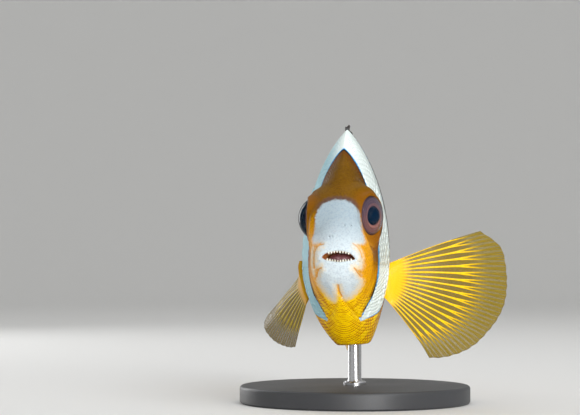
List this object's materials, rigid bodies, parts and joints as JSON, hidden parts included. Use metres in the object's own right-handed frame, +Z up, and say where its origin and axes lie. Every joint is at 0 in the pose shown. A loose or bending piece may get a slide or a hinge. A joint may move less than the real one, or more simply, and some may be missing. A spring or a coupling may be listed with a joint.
{
  "type": "clownfish",
  "caption": "Life-size still model of a swimming Clark's anemonefish, orange, black and white, facing forward, on a round stand with one short rod.",
  "frame": {"origin": "centre of the stand base's underside", "axes": "+Z up; -Y the way the fish faces; +X to the fish's left"},
  "size_m": [0.0602, 0.1113, 0.063],
  "materials": {
    "skin": "wet scaled skin, orange with white and black bars",
    "dark_fin": "dark rayed fin, satin",
    "yellow_fin": "yellow rayed fin, satin, see-through at its edge",
    "eye": "glossy eye",
    "mouth": "wet mouth lining and tongue",
    "stand_base": "matt dark paint",
    "stand_rod": "brushed"
  },
  "bodies": {
    "root": {"eye_left": "eye", "eye_right": "eye", "fin_anal": "yellow_fin", "fin_caudal": "yellow_fin", "fin_dorsal_soft": "dark_fin", "fin_dorsal_spiny": "dark_fin", "fin_pectoral_left": "yellow_fin", "fin_pectoral_right": "yellow_fin", "fin_pelvic_left": "yellow_fin", "fin_pelvic_right": "yellow_fin", "gill_cover_left": "skin", "gill_cover_right": "skin", "head": "skin", "lower_jaw": "skin", "stand_base": "stand_base", "stand_rod": "stand_rod", "tail_stalk": "skin", "tongue": "mouth", "trunk": "skin"}
  },
  "joints": []
}
